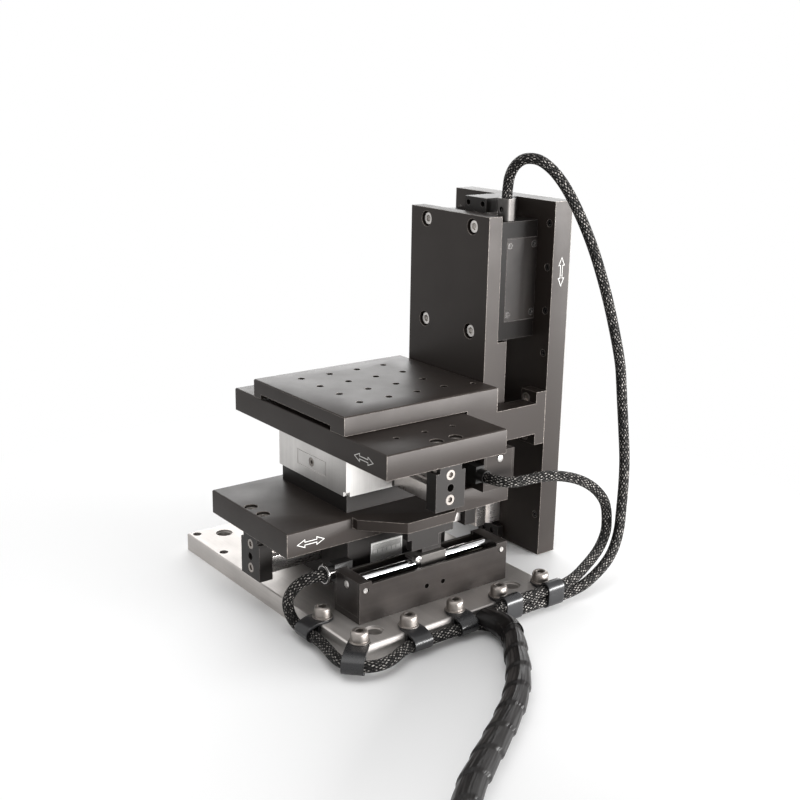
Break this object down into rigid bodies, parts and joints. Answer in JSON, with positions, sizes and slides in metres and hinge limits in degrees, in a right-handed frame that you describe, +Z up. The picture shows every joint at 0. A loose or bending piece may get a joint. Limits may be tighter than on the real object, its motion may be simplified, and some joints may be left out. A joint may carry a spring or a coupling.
{
  "type": "piezo xyz stage",
  "caption": "Three axis piezo positioning stage: crossed X and Y slides on a ground base, an upright Z slide and a fork table with a grid of tapped holes.",
  "frame": {"origin": "centre of the base's bottom face, in the middle of its four fixing holes", "axes": "+Z up, +X along the X slide's travel, +Y along the Y slide's travel"},
  "size_m": [0.2091, 0.4428, 0.1931],
  "materials": {
    "base_steel": "ground and polished, bright",
    "clip_rubber": "satin black strap",
    "screw_steel": "bright stainless",
    "black_anodised": "black anodised, satin",
    "guide_aluminium": "clear anodised, satin",
    "channel_metal": "dark grey anodised, satin",
    "rod_steel": "polished",
    "ceramic": "ceramic, matt",
    "scale_print": "pale film with tick marks",
    "gland_steel": "turned",
    "gland_black": "black anodised",
    "rail_steel": "ground",
    "slider_metal": "satin grey",
    "cage_brass": "bright",
    "braided_lead": "black braid with pale flecks",
    "trunk_wrap": "black spiral wrap, glossy",
    "plug_metal": "satin nickel"
  },
  "bodies": {
    "base": {"base_plate": "base_steel", "cable_clips": "clip_rubber", "clip_screws": "screw_steel", "x_foot_plate": "black_anodised", "x_outer_guide": "guide_aluminium", "x_motor_guide": "black_anodised", "x_guide_screws": "screw_steel", "x_motor_channel": "channel_metal", "x_channel_ends": "channel_metal", "x_drive_rod": "rod_steel", "x_piezo_stack": "ceramic", "x_scale_strip": "scale_print", "x_cable_gland": "gland_steel", "x_cable": "braided_lead", "y_cable_lower": "braided_lead", "z_cable_lower": "braided_lead", "cable_trunk": "trunk_wrap", "trunk_coil": "trunk_wrap", "plug_and_tie": "plug_metal"},
    "x_carriage": {"x_moving_plate": "black_anodised", "x_center_rail": "rail_steel", "x_end_blocks": "black_anodised", "x_end_screws": "screw_steel", "x_drive_arm": "black_anodised", "x_rod_slider": "slider_metal", "y_foot_plate": "black_anodised", "y_outer_guide": "guide_aluminium", "y_motor_guide": "black_anodised", "y_guide_screws": "screw_steel", "y_motor_channel": "channel_metal", "y_channel_ends": "channel_metal", "y_drive_rod": "rod_steel", "y_piezo_stack": "ceramic", "y_cable_gland": "gland_black", "y_cable_upper": "braided_lead"},
    "y_carriage": {"y_moving_plate": "black_anodised", "y_center_rail": "rail_steel", "y_end_blocks": "black_anodised", "y_end_screws": "screw_steel", "y_drive_arm": "black_anodised", "y_rod_slider": "slider_metal", "z_bracket_foot": "black_anodised", "z_upright_plate": "black_anodised", "z_upright_screws": "screw_steel", "z_motor_body": "black_anodised", "z_guide_block": "black_anodised", "z_side_cover": "black_anodised", "z_cover_screws": "screw_steel", "z_piezo_motor": "ceramic", "z_cable_clamp": "gland_steel", "z_cable_upper": "braided_lead"},
    "z_carriage": {"z_tall_plate": "black_anodised", "z_center_rail": "rail_steel", "z_end_blocks": "black_anodised", "z_plate_screws": "screw_steel", "fork_table": "black_anodised", "fork_screws": "screw_steel"},
    "x_cage": {"x_ball_cage": "cage_brass"},
    "y_cage": {"y_ball_cage": "cage_brass"},
    "z_cage": {"z_ball_cage": "cage_brass"}
  },
  "joints": [
    {"name": "x_slide", "type": "slide", "parent": "base", "child": "x_carriage", "axis": [1, 0, 0], "range_m": [-0.026, 0.024]},
    {"name": "y_slide", "type": "slide", "parent": "x_carriage", "child": "y_carriage", "axis": [0, 1, 0], "range_m": [-0.025, 0.025]},
    {"name": "z_slide", "type": "slide", "parent": "y_carriage", "child": "z_carriage", "axis": [0, 0, 1], "range_m": [0, 0.1]},
    {"name": "x_cage_roll", "type": "slide", "parent": "base", "child": "x_cage", "axis": [1, 0, 0], "range_m": [-0.013, 0.012]},
    {"name": "y_cage_roll", "type": "slide", "parent": "x_carriage", "child": "y_cage", "axis": [0, 1, 0], "range_m": [-0.0125, 0.0125]},
    {"name": "z_cage_roll", "type": "slide", "parent": "y_carriage", "child": "z_cage", "axis": [0, 0, 1], "range_m": [0, 0.04]}
  ],
  "couplings": [
    {"joint": "x_cage_roll", "follows": "x_slide", "ratio": 0.5},
    {"joint": "y_cage_roll", "follows": "y_slide", "ratio": 0.5},
    {"joint": "z_cage_roll", "follows": "z_slide", "ratio": 0.4}
  ]
}
